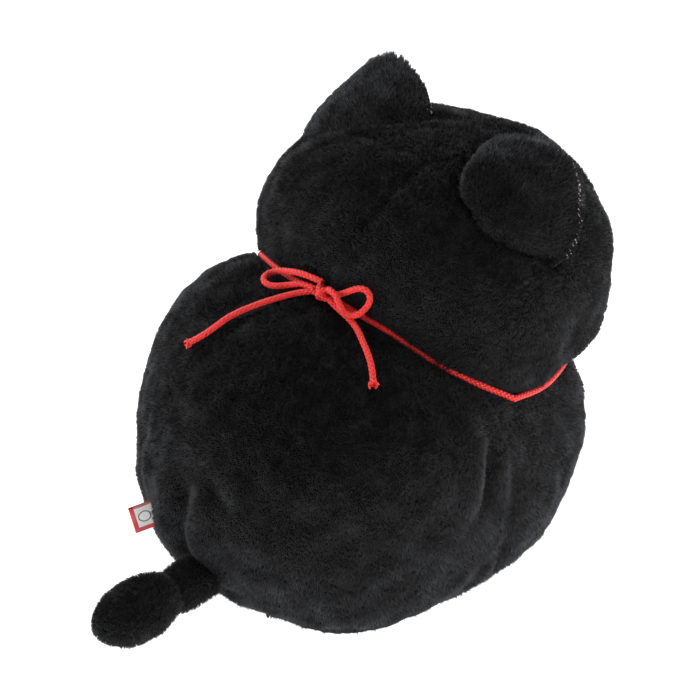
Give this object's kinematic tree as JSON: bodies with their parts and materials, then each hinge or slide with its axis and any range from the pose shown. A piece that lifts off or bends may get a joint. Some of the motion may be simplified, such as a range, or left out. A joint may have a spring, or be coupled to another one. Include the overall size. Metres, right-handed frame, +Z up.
{
  "type": "beckoning cat figurine",
  "caption": "Sitting plush beckoning cat with one raised paw, a red neck cord tied in a bow, a round bell and a short tail.",
  "frame": {"origin": "on the floor under the middle of the body sack", "axes": "+Z up, -Y the cat's front, +X the cat's left"},
  "size_m": [0.194, 0.2975, 0.1982],
  "materials": {
    "black_plush": "short dense pile",
    "red_cord": "braided, slight sheen",
    "brass": "polished",
    "tag_tape": "woven tape",
    "fibre_fill": "loose fibre",
    "pellets": "small beads",
    "lining_cloth": "plain weave",
    "pink_satin": "satin",
    "pale_thread": "embroidery thread",
    "gold_thread": "embroidery thread",
    "pink_thread": "embroidery thread"
  },
  "bodies": {
    "sewn_body": {"back_left_gore": "black_plush", "back_right_gore": "black_plush", "base_panel": "black_plush", "body_stuffing": "fibre_fill", "bow_knot": "red_cord", "bow_left_end": "red_cord", "bow_left_loop": "red_cord", "bow_right_end": "red_cord", "bow_right_loop": "red_cord", "face_panel": "black_plush", "front_panel": "black_plush", "head_back_left_panel": "black_plush", "head_back_right_panel": "black_plush", "head_stuffing": "fibre_fill", "left_eye": "gold_thread", "left_foot_cover": "black_plush", "left_foot_stuffing": "fibre_fill", "left_side_panel": "black_plush", "left_whiskers": "pale_thread", "mouth_stitching": "pink_thread", "neck_cord": "red_cord", "nose": "pink_thread", "pellet_fill": "pellets", "pellet_pouch": "lining_cloth", "right_eye": "gold_thread", "right_foot_cover": "black_plush", "right_foot_stuffing": "fibre_fill", "right_side_panel": "black_plush", "right_whiskers": "pale_thread"},
    "left_ear": {"left_ear_back": "black_plush", "left_ear_lining": "pink_satin", "left_ear_stitching": "pale_thread"},
    "right_ear": {"right_ear_back": "black_plush", "right_ear_lining": "pink_satin", "right_ear_stitching": "pale_thread"},
    "raised_arm": {"raised_arm_cover": "black_plush", "raised_arm_stuffing": "fibre_fill"},
    "resting_arm": {"resting_arm_cover": "black_plush", "resting_arm_stuffing": "fibre_fill"},
    "bell": {"bell_hanger": "brass", "bell_lower_shell": "brass", "bell_pea": "brass", "bell_upper_shell": "brass"},
    "tag": {"side_tag": "tag_tape"},
    "tail_stub": {"tail_stub_cover": "black_plush", "tail_stub_stuffing": "fibre_fill"},
    "tail_tip": {"tail_tip_cover": "black_plush", "tail_tip_stuffing": "fibre_fill"}
  },
  "joints": [
    {"name": "left_ear_fold", "type": "hinge", "parent": "sewn_body", "child": "left_ear", "pos_m": [0.05804, -0.06266, 0.1815], "axis": [0.892, 0.2081, -0.4014], "range_deg": [-8, 15], "stiffness_Nm_per_rad": 0.02},
    {"name": "right_ear_fold", "type": "hinge", "parent": "sewn_body", "child": "right_ear", "pos_m": [-0.05804, -0.06266, 0.1815], "axis": [0.892, -0.2081, 0.4014], "range_deg": [-8, 15], "stiffness_Nm_per_rad": 0.02},
    {"name": "raised_paw_wave", "type": "hinge", "parent": "sewn_body", "child": "raised_arm", "pos_m": [0.0636, -0.0946, 0.061], "axis": [1, 0, 0], "range_deg": [0, 40], "stiffness_Nm_per_rad": 0.05},
    {"name": "resting_arm_lift", "type": "hinge", "parent": "sewn_body", "child": "resting_arm", "pos_m": [-0.05, -0.09, 0.072], "axis": [-1, 0, 0], "range_deg": [0, 45], "stiffness_Nm_per_rad": 0.02},
    {"name": "bell_swing", "type": "hinge", "parent": "sewn_body", "child": "bell", "pos_m": [0, -0.10586, 0.08856], "axis": [-1, 0, 0], "range_deg": [0, 30]},
    {"name": "tag_flip", "type": "hinge", "parent": "sewn_body", "child": "tag", "pos_m": [0.0405, 0.0969, 0.031], "axis": [0.0933, 0.1775, 0.9797], "range_deg": [-60, 60], "stiffness_Nm_per_rad": 0.0005},
    {"name": "tail_swing", "type": "hinge", "parent": "sewn_body", "child": "tail_stub", "pos_m": [0, 0.1145, 0.021], "axis": [0, 0, 1], "range_deg": [-35, 35], "stiffness_Nm_per_rad": 0.01},
    {"name": "tail_tip_bend", "type": "hinge", "parent": "tail_stub", "child": "tail_tip", "pos_m": [0, 0.1245, 0.021], "axis": [0, 0, 1], "range_deg": [-35, 35], "stiffness_Nm_per_rad": 0.008}
  ]
}
